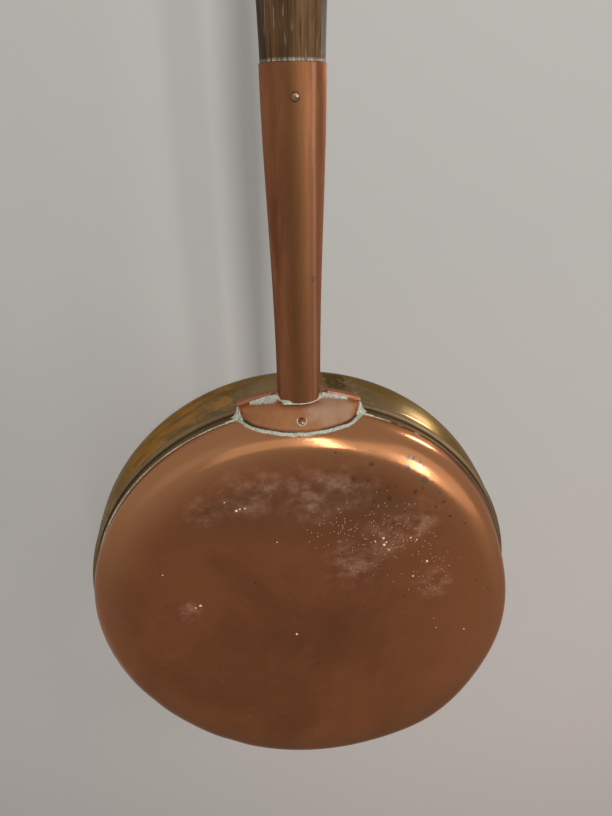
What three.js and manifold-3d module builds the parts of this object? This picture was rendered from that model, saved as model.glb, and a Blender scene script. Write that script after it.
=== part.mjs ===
// A bed warming pan, hanging from the ring at the end of its handle.
// A shallow copper bowl carries a wired brass rim, and a deep brass lid with draught holes turns on a hinge
// by the handle. A rolled copper socket stands on a copper bracket at the seam and holds the long turned
// wooden handle.
// Millimetres. +Z is up along the handle, -Y is the copper underside and +Y is the lid side. The origin is
// where a hook bears, under the top of the hanging ring.
import * as THREE from "three";
import { mergeVertices } from "three/addons/utils/BufferGeometryUtils.js";
import Module from "manifold-3d";

const wasm = await Module();
wasm.setup();

// ---------------------------------------------------------------- driving dimensions

const clearance = 0.3; // between two pieces that touch

// Copper bowl. Heights along the pan's axis are counted from the seam: the lid side is plus.
const bowlRadius = 144;
const bowlDepth = 29;
const bottomCrown = 1.5;
const restRadius = 80;
const shoulderReach = 18;
const wallBelowSeam = 8;
const bowlLap = 4.5;
const copperSheet = 1.4;

// Brass rim band with an iron wire rolled into its edge.
const rimSheet = 0.8;
const wireRadius = 0.9;
const beadHeight = 7.1;
const curlEnd = -110;

// Brass lid. Its side flares a little from the edge to the waist and on to the belly.
const lidSheet = 1.3;
const lidEdgeOverBowl = 2.9;
const lidWaistFlare = 2.5;
const lidWaistHeight = 24;
const lidBellyFlare = 0.6;
const lidBellyHeight = 38.4;
const lidShoulderReach = 38;
const lidShoulderRise = 45;
const lidFieldRadius = 95;
const lidFieldDrop = 1.1;
const lidRingRise = 2.6;
const lidBossRadius = 25;
const lidBossRise = 3.2;
const holeRadius = 3;
const holePitch = 32.5;
const firstHoleRing = 42;
const holeRingPitch = 20;
const holeMargin = 8;

// Copper bracket at the seam.
const bracketSheet = 1.5;
const bracketHalfLength = 39;
const bracketOverLid = 0.4;
const bracketFlat = 13;
const bracketTipHeight = 3.3;
const bracketFootHeight = -22.8;
const backPlateReach = 12.5;
const barRadius = 2.1;
const barRise = 1.7;

// Hinge.
const knuckleRadius = 3.2;
const hingePinRadius = 1.6;
const lidKnuckleWidth = 8.6;
const outerKnuckleWidth = 6.7;
const hingePinHead = 1.2;
const strapSheet = 1.6;
const strapWidth = 14;
const strapEnd = 60;
const strapRivetHeights = [31, 50];

// Rivets: shank and head radii and the height of the head.
const bracketRivet = { shank: 1.7, head: 2.9, rise: 1.0 };
const strapRivet = { shank: 1.3, head: 2.4, rise: 1.1 };
const burrSheet = 0.8;
const burrMargin = 0.9;
const bracketRivetHeight = -18.6;

// Socket and wooden handle. Lengths along the handle are counted from the pan's axis.
const handleSetBack = 4;
const socketLength = 182.7;
const socketSheet = 1.2;
const socketFootRadius = 13.4;
const socketMouthRadius = 17.3;
const brazeWidth = 1.3;
const tenonStart = 36;
const socketPin = { shank: 1.4, head: 2.1, rise: 1.4 };
const socketPinInset = 15.3;
const handleLength = 570;
const socketLip = 0.6;
const swellRadius = 18.1;
const neckRadius = 12.8;
const collarRadius = 15.4;
const gripRadius = 15.9;
const knobRadius = 16.6;
const knobTopRadius = 9;

// Hanging ring.
const eyeRadius = 6;
const eyeWire = 1.9;
const eyeShank = 26;
const eyeWasherRadius = 8;
const eyeWasherSheet = 1.5;
const ringRadius = 15;
const ringWire = 1.8;

// Facets round each kind of piece.
const panFacets = 60;
const handleFacets = 20;
const smallFacets = 10;
const holeFacets = 6;

// ---------------------------------------------------------------- sizes worked out

const lidEdgeRadius = bowlRadius + lidEdgeOverBowl;
const lidWaistRadius = lidEdgeRadius + lidWaistFlare;
const lidRadius = lidWaistRadius + lidBellyFlare;
const bracketTop = lidWaistRadius + bracketOverLid + bracketSheet;
const beadMiddle = wireRadius + clearance + rimSheet / 2;
const rimInside = bowlRadius + clearance;
const beadRadius = rimInside + rimSheet / 2 + beadMiddle;
const beadTop = beadHeight + beadMiddle + rimSheet / 2;
const beadOutside = beadRadius + beadMiddle + rimSheet / 2;
const bracketTipTop =
  Math.sqrt(beadOutside ** 2 - bracketHalfLength ** 2) + 2 * clearance + bracketSheet;
const lidEdgeHeight = beadTop + clearance;
const lidShoulderRadius = lidRadius - lidShoulderReach;
const lidShoulderTop = lidBellyHeight + lidShoulderRise;
const lidFieldHeight = lidShoulderTop + lidFieldDrop;
const socketFoot = bracketTop + clearance;
const socketMouth = socketFoot + socketLength;
const socketPinHeight = socketMouth - socketPinInset;
const handleStart = socketMouth + clearance;
const handleEnd = handleStart + handleLength;
const eyeWasherTop = handleEnd + clearance + eyeWasherSheet;
const eyeHeight = eyeWasherTop + clearance + eyeRadius + eyeWire;
const ringPivotHeight = eyeHeight + eyeRadius - eyeWire - clearance - ringWire;
const ringHeight = ringPivotHeight + ringRadius;
const hookHeight = ringHeight + ringRadius - ringWire;
const hingeHeight = handleSetBack + socketFootRadius + brazeWidth + knuckleRadius + 3 * clearance;
const hingeDistance =
  Math.max(lidSideAt(hingeHeight) + clearance, bracketTop - bracketSheet) + knuckleRadius;

// ---------------------------------------------------------------- solids

// A closed geometry as a solid that faces outwards.
function solid(geometry) {
  const bare = new THREE.BufferGeometry();
  const loose = geometry.index ? geometry.toNonIndexed() : geometry;
  bare.setAttribute("position", loose.getAttribute("position"));
  const merged = mergeVertices(bare, 1e-4);
  const corners = merged.index.array;
  const faces = [];
  for (let i = 0; i < corners.length; i += 3) {
    const [a, b, c] = [corners[i], corners[i + 1], corners[i + 2]];
    if (a !== b && b !== c && a !== c) faces.push(a, b, c);
  }
  const build = (triangles) =>
    new wasm.Manifold(
      new wasm.Mesh({
        numProp: 3,
        vertProperties: new Float32Array(merged.getAttribute("position").array),
        triVerts: new Uint32Array(triangles),
      }),
    );
  const made = build(faces);
  return made.volume() < 0 ? build(faces.reverse()) : made;
}

// The geometry of a solid, flat shaded.
function geometryOf(body) {
  const { vertProperties, triVerts } = body.getMesh();
  const geometry = new THREE.BufferGeometry();
  geometry.setAttribute("position", new THREE.BufferAttribute(vertProperties, 3));
  geometry.setIndex(new THREE.BufferAttribute(triVerts, 1));
  const faceted = geometry.toNonIndexed();
  faceted.computeVertexNormals();
  return faceted;
}

// A profile of [radius, height] pairs turned about the Y axis.
function turned(profile, facets) {
  const points = profile.map(([radius, height]) => new THREE.Vector2(radius, height));
  return solid(new THREE.LatheGeometry(points, facets));
}

// The same, turned about the Z axis.
function turnedUpright(profile, facets) {
  return turned(profile, facets).rotate([90, 0, 0]);
}

// A rod of round section along Z between two heights.
function rod(radius, low, high, facets) {
  return turnedUpright([[0, low], [radius, low], [radius, high], [0, high]], facets);
}

// A ring of round section about the Z axis.
function hoop(radius, wire, facets, sides) {
  return solid(new THREE.TorusGeometry(radius, wire, sides, facets));
}

// An outline drawn in the Y-Z plane, extruded along X about the middle.
function acrossX(outline, width, middle = 0) {
  const shape = new THREE.Shape(outline.map(([y, z]) => new THREE.Vector2(y, z)));
  const flat = new THREE.ExtrudeGeometry(shape, { depth: width, bevelEnabled: false });
  const axes = new THREE.Matrix4().makeBasis(
    new THREE.Vector3(0, 1, 0),
    new THREE.Vector3(0, 0, 1),
    new THREE.Vector3(1, 0, 0),
  );
  return solid(flat.applyMatrix4(axes)).translate([middle - width / 2, 0, 0]);
}

// A path of [radius, height] pairs shifted to its left, with mitred corners.
function shifted(path, distance) {
  return path.map(([x, y], i) => {
    const sides = [];
    if (i > 0) sides.push([x - path[i - 1][0], y - path[i - 1][1]]);
    if (i < path.length - 1) sides.push([path[i + 1][0] - x, path[i + 1][1] - y]);
    const normals = sides.map(([dx, dy]) => {
      const length = Math.hypot(dx, dy);
      return [-dy / length, dx / length];
    });
    const [first, last] = [normals[0], normals[normals.length - 1]];
    const share = distance / (1 + first[0] * last[0] + first[1] * last[1]);
    return [x + (first[0] + last[0]) * share, y + (first[1] + last[1]) * share];
  });
}

// The closed section of a sheet that follows a path and lies to its left.
function sheet(path, thickness) {
  const inner = shifted(path, thickness).reverse();
  return [...path, ...inner, path[0]];
}

// A curved plate between two surfaces over the same grid of places.
function plate(columns, rows, outer, inner) {
  const places = [];
  for (const surface of [outer, inner])
    for (let i = 0; i <= columns; i += 1)
      for (let j = 0; j <= rows; j += 1) places.push(surface(i / columns, j / rows));
  const layer = (columns + 1) * (rows + 1);
  const at = (i, j, under) => i * (rows + 1) + j + (under ? layer : 0);
  const faces = [];
  const quad = (a, b, c, d) => faces.push(a, b, c, a, c, d);
  for (let i = 0; i < columns; i += 1)
    for (let j = 0; j < rows; j += 1) {
      quad(at(i, j), at(i + 1, j), at(i + 1, j + 1), at(i, j + 1));
      quad(at(i, j, 1), at(i, j + 1, 1), at(i + 1, j + 1, 1), at(i + 1, j, 1));
    }
  for (let i = 0; i < columns; i += 1) {
    quad(at(i + 1, 0), at(i, 0), at(i, 0, 1), at(i + 1, 0, 1));
    quad(at(i, rows), at(i + 1, rows), at(i + 1, rows, 1), at(i, rows, 1));
  }
  for (let j = 0; j < rows; j += 1) {
    quad(at(0, j), at(0, j + 1), at(0, j + 1, 1), at(0, j, 1));
    quad(at(columns, j + 1), at(columns, j), at(columns, j, 1), at(columns, j + 1, 1));
  }
  const geometry = new THREE.BufferGeometry();
  geometry.setAttribute("position", new THREE.Float32BufferAttribute(places.flat(), 3));
  geometry.setIndex(faces);
  return solid(geometry);
}

// A rivet along Z: a domed head above the top height, a shank, and a low tail under the bottom height.
function rivet({ shank, head, rise }, top, bottom) {
  const tail = (head + shank) / 2;
  return turnedUpright(
    [
      [0, bottom - rise * 0.7],
      [tail * 0.6, bottom - rise * 0.6],
      [tail, bottom],
      [shank, bottom],
      [shank, top],
      [head, top],
      [head * 0.75, top + rise * 0.7],
      [0, top + rise],
    ],
    smallFacets,
  );
}

// A round washer about the Z axis.
function washer(inside, outside, low, high) {
  return turnedUpright(
    [[inside, low], [outside, low], [outside, high], [inside, high], [inside, low]],
    smallFacets,
  );
}

// ---------------------------------------------------------------- materials

const finish = (colour, roughness, metalness) =>
  new THREE.MeshStandardMaterial({ color: colour, roughness, metalness });
const copper = finish(0xb4693c, 0.35, 1);
const brass = finish(0xa58a55, 0.35, 1);
const iron = finish(0x4a4643, 0.6, 1);
const wood = finish(0x6b4a2b, 0.6, 0);

// ---------------------------------------------------------------- bowl and rim

const shoulderRadius = bowlRadius - shoulderReach;

// Outside of the copper shoulder at a height between the straight wall and the bottom's edge.
function shoulderAt(height) {
  const down = (-wallBelowSeam - height) / (bowlDepth - wallBelowSeam);
  return shoulderRadius + shoulderReach * Math.sqrt(Math.max(0, 1 - down * down));
}

function bowlPath() {
  const path = [
    [0, -bowlDepth - bottomCrown],
    [restRadius, -bowlDepth - bottomCrown],
  ];
  const steps = 6;
  for (let i = 0; i <= steps; i += 1) {
    const turn = (Math.PI / 2) * (1 - i / steps);
    path.push([
      shoulderRadius + shoulderReach * Math.cos(turn),
      -wallBelowSeam - (bowlDepth - wallBelowSeam) * Math.sin(turn),
    ]);
  }
  path.push([bowlRadius, bowlLap]);
  return path;
}

// Inside of the bowl at a height along the pan's axis.
function bowlInsideAt(height) {
  if (height > -wallBelowSeam) return bowlRadius - copperSheet;
  const step = 0.01;
  const slope = (shoulderAt(height + step) - shoulderAt(height)) / step;
  return shoulderAt(height) - copperSheet * Math.hypot(1, slope);
}

function bowl() {
  const path = bowlPath();
  const inside = shifted(path, copperSheet);
  inside[0][0] = 0;
  return turned([...path, ...inside.reverse()], panFacets).subtract(bracketRivetHole());
}

function rimBand() {
  const path = [
    [rimInside + rimSheet, 0],
    [rimInside + rimSheet, beadHeight],
  ];
  const steps = 4;
  for (let i = 1; i <= steps; i += 1) {
    const turn = THREE.MathUtils.degToRad(180 + ((curlEnd - 180) * i) / steps);
    const reach = beadMiddle - rimSheet / 2;
    path.push([beadRadius + reach * Math.cos(turn), beadHeight + reach * Math.sin(turn)]);
  }
  return turned(sheet(path, rimSheet), panFacets);
}

function rimWire() {
  const section = [];
  const sides = 6;
  for (let i = 0; i <= sides; i += 1) {
    const turn = (2 * Math.PI * (i % sides)) / sides;
    section.push([beadRadius + wireRadius * Math.cos(turn), beadHeight + wireRadius * Math.sin(turn)]);
  }
  return turned(section, panFacets);
}

// ---------------------------------------------------------------- bracket and hinge plate

// Top of the bracket along X: level under the socket, then falling to the tips.
function ridge(x) {
  const out = Math.max(0, Math.abs(x) - bracketFlat) / (bracketHalfLength - bracketFlat);
  return bracketTop - (bracketTop - bracketTipTop) * out ** 1.5;
}

// The share of a lens's half width that is left at x.
const lens = (x) => Math.sqrt(Math.max(0, 1 - (x / bracketHalfLength) ** 2));

// Outside of the bowl or of the rim's lap over it, at x and a height along the pan's axis.
function panSurface(x, height) {
  let radius = rimInside + rimSheet;
  if (height < -clearance) radius = bowlRadius;
  if (height < -wallBelowSeam) radius = shoulderAt(height);
  return Math.sqrt(radius ** 2 - x ** 2);
}

const tipShare = 0.998;
const plateColumns = 16;

// Places along the bracket, closer together towards its tips.
const alongBracket = (share) => -bracketHalfLength * tipShare * Math.cos(Math.PI * share);

// Lower edge of the bracket's front, and the line where its slope meets the level top.
const frontFoot = (x) => bracketTipHeight + (bracketFootHeight - bracketTipHeight) * lens(x);
const frontBrow = (x) =>
  bracketTipHeight + (handleSetBack - socketFootRadius - brazeWidth - bracketTipHeight) * lens(x);

// Outside of the bracket's front: it lies on the bowl at its lower edge and slopes up to the ridge.
function frontAt(x, height) {
  const low = panSurface(x, frontFoot(x)) + clearance + bracketSheet;
  const rise = (height - frontFoot(x)) / (frontBrow(x) - frontFoot(x));
  const softness = 0.25;
  let share = Math.min(1, rise);
  if (Math.abs(rise - 1) < softness) share = rise - (rise - 1 + softness) ** 2 / (4 * softness);
  return low + (ridge(x) - low) * share;
}

function bracketPlate() {
  const place = (u, v, drop) => {
    const x = alongBracket(u);
    const height = frontFoot(x) + (bracketTipHeight - frontFoot(x)) * v;
    return [x, height, frontAt(x, height) - drop];
  };
  const made = plate(
    plateColumns,
    8,
    (u, v) => place(u, v, 0),
    (u, v) => place(u, v, bracketSheet),
  );
  return made.subtract(bracketRivetHole());
}

// Rise of the bracket's front over 1 mm where its rivet sits.
const rivetSlope = () => frontAt(0, bracketRivetHeight + 0.5) - frontAt(0, bracketRivetHeight - 0.5);

// Places a piece that is made along Z on the rivet's line, with z = 0 on the bracket's outside.
function onRivetLine(body) {
  return body
    .rotate([THREE.MathUtils.radToDeg(Math.atan(rivetSlope())), 0, 0])
    .translate([0, bracketRivetHeight, frontAt(0, bracketRivetHeight)]);
}

const bracketRivetHole = () =>
  onRivetLine(rod(bracketRivet.shank + clearance, -2 * gripBeside(0), gripBeside(0), smallFacets));

// Depth of the bowl's inside below the bracket's outside, along a line beside the rivet's.
function gripBeside(side) {
  const turn = Math.atan(rivetSlope());
  const step = 0.05;
  let depth = 0;
  for (let within = false; !within; depth += step) {
    const height = bracketRivetHeight + side * Math.cos(turn) + depth * Math.sin(turn);
    const distance =
      frontAt(0, bracketRivetHeight) + side * Math.sin(turn) - depth * Math.cos(turn);
    within = distance < bowlInsideAt(height);
  }
  return depth;
}

// Back of the bracket: a plate with a rolled front edge, which carries the fixed knuckles of the hinge.
function hingePlate() {
  const front = bracketTipHeight + clearance;
  const place = (u, v, drop) => {
    const x = alongBracket(u);
    const back = front + backPlateReach * Math.max(lens(x), 0.25);
    const height = front + (back - front) * v;
    const clearOfSocket = socketFootRadius + brazeWidth + 2 * clearance;
    const bar = THREE.MathUtils.smoothstep(Math.abs(x), clearOfSocket, clearOfSocket + barRadius);
    const across = (height - front - barRadius) / barRadius;
    const rise = barRise * bar * Math.sqrt(Math.max(0, 1 - across ** 2));
    return [x, height, ridge(x) + rise - drop];
  };
  const wings = plate(
    plateColumns,
    8,
    (u, v) => place(u, v, 0),
    (u, v) => place(u, v, bracketSheet),
  );
  const webStart = front + backPlateReach - bracketSheet;
  const web = [
    [webStart, bracketTop - bracketSheet],
    [hingeHeight, bracketTop - bracketSheet],
    [hingeHeight, bracketTop],
    [webStart, bracketTop],
  ];
  const middle = lidKnuckleWidth / 2 + clearance + outerKnuckleWidth / 2;
  const knuckles = [-middle, middle].map((x) =>
    acrossX(web, outerKnuckleWidth, x).add(knuckle(outerKnuckleWidth, x)),
  );
  return wings.add(knuckles[0]).add(knuckles[1]).subtract(hingeBore());
}

// ---------------------------------------------------------------- hinge

// A piece made along Z, laid along X on the hinge's axis.
function onHinge(body, x = 0) {
  return body.rotate([0, 90, 0]).translate([x, hingeHeight, hingeDistance]);
}

const hingeHalfWidth = lidKnuckleWidth / 2 + clearance + outerKnuckleWidth;
const knuckle = (width, x) => onHinge(rod(knuckleRadius, -width / 2, width / 2, smallFacets), x);
const hingeBore = () =>
  onHinge(rod(hingePinRadius + clearance, -2 * hingeHalfWidth, 2 * hingeHalfWidth, smallFacets));

function hingePin() {
  const half = hingeHalfWidth + clearance;
  const head = knuckleRadius - 2 * clearance;
  return onHinge(
    turnedUpright(
      [
        [0, -half - hingePinHead],
        [head, -half - hingePinHead],
        [head, -half],
        [hingePinRadius, -half],
        [hingePinRadius, half],
        [head, half],
        [head, half + hingePinHead],
        [0, half + hingePinHead],
      ],
      smallFacets,
    ),
  );
}

// ---------------------------------------------------------------- lid

// Outside of the lid from its middle to its edge.
function lidPath() {
  const ringFoot = (lidShoulderRadius - lidFieldRadius) / 4;
  const path = [
    [0, lidFieldHeight + lidBossRise],
    [lidBossRadius * 0.7, lidFieldHeight + lidBossRise * 0.85],
    [lidBossRadius, lidFieldHeight],
    [lidFieldRadius, lidFieldHeight - lidFieldDrop],
    [lidFieldRadius + ringFoot, lidFieldHeight - lidFieldDrop + lidRingRise],
    [lidShoulderRadius - ringFoot, lidFieldHeight - lidFieldDrop + lidRingRise * 0.8],
  ];
  const steps = 6;
  for (let i = 0; i <= steps; i += 1) {
    const turn = (Math.PI / 2) * (1 - i / steps);
    path.push([
      lidShoulderRadius + lidShoulderReach * Math.cos(turn),
      lidBellyHeight + lidShoulderRise * Math.sin(turn),
    ]);
  }
  path.push([lidWaistRadius, lidWaistHeight], [lidEdgeRadius, lidEdgeHeight]);
  return path;
}

// Outside radius of the lid's side at a height along the pan's axis.
function lidSideAt(height) {
  if (height > lidBellyHeight) {
    const up = (height - lidBellyHeight) / lidShoulderRise;
    return lidShoulderRadius + lidShoulderReach * Math.sqrt(Math.max(0, 1 - up * up));
  }
  if (height > lidWaistHeight)
    return THREE.MathUtils.mapLinear(height, lidWaistHeight, lidBellyHeight, lidWaistRadius, lidRadius);
  return THREE.MathUtils.mapLinear(height, lidEdgeHeight, lidWaistHeight, lidEdgeRadius, lidWaistRadius);
}

// A piece made along Z for a rivet of the strap, with z = 0 on the lid's outside.
function onStrapRivet(body, height) {
  const slope = lidSideAt(height + 0.5) - lidSideAt(height - 0.5);
  return body
    .rotate([THREE.MathUtils.radToDeg(Math.atan(slope)), 0, 0])
    .translate([0, height, lidSideAt(height)]);
}

const strapHoles = () =>
  strapRivetHeights.map((height) =>
    onStrapRivet(rod(strapRivet.shank + clearance, -3 * lidSheet, 3 * lidSheet, smallFacets), height),
  );

function lid() {
  const path = lidPath();
  const inside = shifted(path, -lidSheet);
  inside[0][0] = 0;
  let made = turned([...path, ...inside.reverse()], panFacets);
  const drills = [];
  for (let radius = firstHoleRing; radius < lidFieldRadius - holeMargin; radius += holeRingPitch) {
    const count = Math.round((2 * Math.PI * radius) / holePitch);
    for (let i = 0; i < count; i += 1) {
      const turn = (2 * Math.PI * (i + 0.5)) / count;
      const drill = rod(holeRadius, -2 * lidFieldHeight, 0, holeFacets).rotate([90, 0, 0]);
      drills.push(drill.translate([radius * Math.sin(turn), 0, radius * Math.cos(turn)]));
    }
  }
  for (const tool of [...drills, ...strapHoles()]) made = made.subtract(tool);
  return made;
}

function lidStrap() {
  // A strip of sheet that follows the lid's side between two heights.
  const along = (from, to, steps, width) => {
    const under = [];
    for (let i = 0; i <= steps; i += 1) {
      const height = from + ((to - from) * i) / steps;
      under.push([height, lidSideAt(height) + clearance]);
    }
    const over = shifted(under, strapSheet).reverse();
    return acrossX([...under, ...over], width);
  };
  const shoulder = hingeHeight + knuckleRadius + clearance;
  let made = along(hingeHeight, shoulder + strapSheet, 2, lidKnuckleWidth)
    .add(along(shoulder, strapEnd, 6, strapWidth))
    .add(knuckle(lidKnuckleWidth, 0))
    .subtract(hingeBore());
  for (const hole of strapHoles()) made = made.subtract(hole);
  return made;
}

// ---------------------------------------------------------------- socket and handle

// Outside radius of the socket at a share of its length: nearly straight at the foot, then an easy flare.
function socketRadius(share) {
  const eased = THREE.MathUtils.smoothstep(share, 0, 1) ** 1.35;
  return socketFootRadius + (socketMouthRadius - socketFootRadius) * eased;
}

const socketSteps = 8;
const pinHole = () =>
  rod(socketPin.shank + clearance, -2 * socketMouthRadius, 2 * socketMouthRadius, smallFacets)
    .rotate([90, 0, 0])
    .translate([0, 0, socketPinHeight]);

function socket() {
  const path = [];
  for (let i = 0; i <= socketSteps; i += 1) {
    const share = i / socketSteps;
    path.push([socketRadius(share), socketFoot + socketLength * share]);
  }
  return turnedUpright(sheet(path, socketSheet), handleFacets).subtract(pinHole());
}

// A fillet of brazing metal round the socket's foot.
function footBraze() {
  const inside = socketFootRadius + clearance;
  return turnedUpright(
    [
      [inside, socketFoot],
      [inside + brazeWidth, socketFoot],
      [inside + brazeWidth * 0.35, socketFoot + brazeWidth * 0.45],
      [inside, socketFoot + brazeWidth],
      [inside, socketFoot],
    ],
    handleFacets,
  );
}

function handle() {
  const profile = [[0, socketFoot + tenonStart]];
  for (let i = 2; i <= socketSteps; i += 1) {
    const share = i / socketSteps;
    profile.push([
      socketRadius(share) - socketSheet - clearance,
      Math.max(socketFoot + socketLength * share, socketFoot + tenonStart),
    ]);
  }
  profile[profile.length - 1][1] = handleStart;
  // Shares of the bare length, with the radius there: a swell above the socket, a long taper, a collar, the
  // grip and the knob.
  const shoulderRadius = socketMouthRadius - socketLip;
  const turnings = [
    [0, shoulderRadius],
    [0.048, (shoulderRadius + swellRadius) / 2],
    [0.1, swellRadius],
    [0.17, swellRadius],
    [0.27, (2 * swellRadius + neckRadius) / 3],
    [0.4, (swellRadius + 2 * neckRadius) / 3],
    [0.54, neckRadius * 1.04],
    [0.66, neckRadius],
    [0.71, neckRadius],
    [0.72, collarRadius],
    [0.735, collarRadius],
    [0.745, neckRadius],
    [0.765, (neckRadius + gripRadius) / 2],
    [0.82, gripRadius],
    [0.88, gripRadius * 0.95],
    [0.93, neckRadius],
    [0.94, neckRadius * 0.96],
    [0.952, (neckRadius + knobRadius) / 2],
    [0.968, knobRadius],
    [0.984, knobRadius * 0.94],
    [0.996, (knobRadius + knobTopRadius) / 2],
    [1, knobTopRadius],
  ];
  for (const [share, radius] of turnings) profile.push([radius, handleStart + handleLength * share]);
  profile.push([0, handleEnd]);
  const eyeHole = rod(eyeWire + clearance, handleEnd - eyeShank - clearance, eyeHeight, smallFacets);
  return turnedUpright(profile, handleFacets).subtract(pinHole()).subtract(eyeHole);
}

function pin() {
  const reach = socketRadius(1 - socketPinInset / socketLength) + clearance;
  const { shank, head, rise } = socketPin;
  const half = [
    [shank, reach],
    [head, reach],
    [head * 0.8, reach + rise * 0.6],
    [0, reach + rise],
  ];
  const mirrored = half.map(([radius, height]) => [radius, -height]).reverse();
  return turned([...mirrored, ...half], smallFacets).translate([0, 0, socketPinHeight]);
}

// ---------------------------------------------------------------- eye and ring

function eye() {
  const loop = hoop(eyeRadius, eyeWire, 16, 8).rotate([0, 90, 0]).translate([0, 0, eyeHeight]);
  const shank = rod(eyeWire, handleEnd - eyeShank, eyeHeight - eyeRadius, smallFacets);
  return loop.add(shank);
}

const eyeWasher = () =>
  washer(eyeWire + clearance, eyeWasherRadius, handleEnd + clearance, eyeWasherTop);

// ---------------------------------------------------------------- rivets

const burrReach = bracketRivet.head + burrMargin;

// Where the burr of the bracket's rivet lies below the bracket's outside.
const bracketBurrTop = () =>
  -Math.max(gripBeside(-burrReach), gripBeside(burrReach)) - clearance;

const bracketRivetBody = () =>
  onRivetLine(rivet(bracketRivet, clearance, bracketBurrTop() - burrSheet - clearance));

const bracketBurr = () =>
  onRivetLine(
    washer(bracketRivet.shank + clearance, burrReach, bracketBurrTop() - burrSheet, bracketBurrTop()),
  );

const strapGrip = clearance + strapSheet + clearance;
const strapRivetBody = (height) =>
  onStrapRivet(rivet(strapRivet, strapGrip, -lidSheet - 2 * clearance - burrSheet - clearance), height);
const strapBurr = (height) =>
  onStrapRivet(
    washer(
      strapRivet.shank + clearance,
      strapRivet.head + burrMargin,
      -lidSheet - 2 * clearance - burrSheet,
      -lidSheet - 2 * clearance,
    ),
    height,
  );

// ---------------------------------------------------------------- assembly

function piece(name, body, material) {
  const mesh = new THREE.Mesh(geometryOf(body), material);
  mesh.name = name;
  return mesh;
}

const pan = new THREE.Group();
pan.add(
  piece("bowl", bowl(), copper),
  piece("rim_band", rimBand(), brass),
  piece("rim_wire", rimWire(), iron),
  piece("bracket_plate", bracketPlate(), copper),
  piece("hinge_plate", hingePlate(), copper),
  piece("bracket_rivet", bracketRivetBody(), copper),
  piece("bracket_rivet_burr", bracketBurr(), copper),
  piece("hinge_pin", hingePin(), iron),
);

const handleGroup = new THREE.Group();
handleGroup.add(
  piece("handle_socket", socket(), copper),
  piece("socket_braze", footBraze(), brass),
  piece("socket_pin", pin(), brass),
  piece("wooden_handle", handle(), wood),
  piece("eye_washer", eyeWasher(), brass),
  piece("hanging_eye", eye(), brass),
);
handleGroup.position.y = handleSetBack;

const lidGroup = new THREE.Group();
lidGroup.add(piece("lid", lid(), brass), piece("lid_strap", lidStrap(), brass));
strapRivetHeights.forEach((height, i) => {
  lidGroup.add(
    piece(`strap_rivet_${i + 1}`, strapRivetBody(height), copper),
    piece(`strap_rivet_burr_${i + 1}`, strapBurr(height), copper),
  );
});

// The ring lies in the X-Z plane, with its lowest stretch through the eye.
const ring = piece("hanging_ring", hoop(ringRadius, ringWire, 24, 8), brass);
ring.rotation.x = Math.PI / 2;
ring.position.set(0, 0, ringHeight);
handleGroup.add(ring);

const warmingPan = new THREE.Group();
warmingPan.add(pan, lidGroup, handleGroup);
warmingPan.position.set(0, -handleSetBack, -hookHeight);

export default warmingPan;
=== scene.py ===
from math import atan, atan2, cos, degrees, exp, hypot, pi, radians, sin, sqrt

import bmesh
import bpy
from mathutils import Matrix, Vector, noise


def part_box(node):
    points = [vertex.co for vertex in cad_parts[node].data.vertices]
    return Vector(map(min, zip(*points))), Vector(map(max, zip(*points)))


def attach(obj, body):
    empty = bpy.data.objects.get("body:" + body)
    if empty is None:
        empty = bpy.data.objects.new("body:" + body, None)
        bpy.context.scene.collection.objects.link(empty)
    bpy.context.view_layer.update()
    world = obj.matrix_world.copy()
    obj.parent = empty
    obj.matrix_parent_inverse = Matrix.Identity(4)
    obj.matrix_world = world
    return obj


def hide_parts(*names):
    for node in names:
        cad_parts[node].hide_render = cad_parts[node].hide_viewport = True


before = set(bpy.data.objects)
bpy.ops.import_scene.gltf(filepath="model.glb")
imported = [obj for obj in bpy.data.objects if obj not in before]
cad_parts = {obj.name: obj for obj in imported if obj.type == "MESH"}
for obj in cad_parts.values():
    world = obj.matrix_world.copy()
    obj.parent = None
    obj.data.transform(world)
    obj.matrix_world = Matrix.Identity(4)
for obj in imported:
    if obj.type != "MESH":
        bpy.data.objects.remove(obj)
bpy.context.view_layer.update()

# -------------------- camera
# A phone held a little above the pan's rim and just left of the handle, looking down at the copper side.
CAMERA_PLACE, CAMERA_LENS = (-0.02399, -0.36408, -0.63240), 28.1
CAMERA_TURN, CAMERA_TILT, CAMERA_ROLL = -4.444, 90 - 24.97, -0.82


def placed(name, data, matrix=Matrix()):
    """A new object in the scene."""
    made = bpy.data.objects.new(name, data)
    bpy.context.scene.collection.objects.link(made)
    made.matrix_world = matrix
    return made


def turned(angle, axis="Z"):
    """A turn by an angle in degrees."""
    return Matrix.Rotation(radians(angle), 4, axis)


camera_data = bpy.data.cameras.new("camera")
camera_data.lens = CAMERA_LENS
bpy.context.scene.camera = placed(
    "camera", camera_data,
    Matrix.Translation(CAMERA_PLACE) @ turned(CAMERA_TURN) @ turned(CAMERA_TILT, "X") @ turned(CAMERA_ROLL))
bpy.context.scene.view_settings.view_transform = "Standard"

# -------------------- wall, floor and light
# The pan hangs clear of a plain pale wall, far enough in front of it for the lid to open. The wall has one
# side only, so it never hides the back of the pan. Light comes from windows at the front right.
WALL_Y, FLOOR_Z, STAGE_HALF = 0.345, -1.95, 4
PALE, PAINTED_WALL_LIGHT, MOTTLE = (0.405, 0.395, 0.381), (0.52, 0.465, 0.44), 0.015
DAYLIGHT, SIDE_LIGHT = (1, 0.98, 0.95), (1, 0.97, 0.95)
BACK_LIGHT, SOFT_LIGHT = (0.98, 0.98, 1), (1, 0.985, 0.96)


def fill(socket, value):
    """Gives a socket a plain value, or links it to another socket. Colours are three numbers."""
    if isinstance(value, bpy.types.NodeSocket):
        socket.id_data.links.new(value, socket)
    else:
        socket.default_value = (*value, 1) if socket.type == "RGBA" else value


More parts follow.
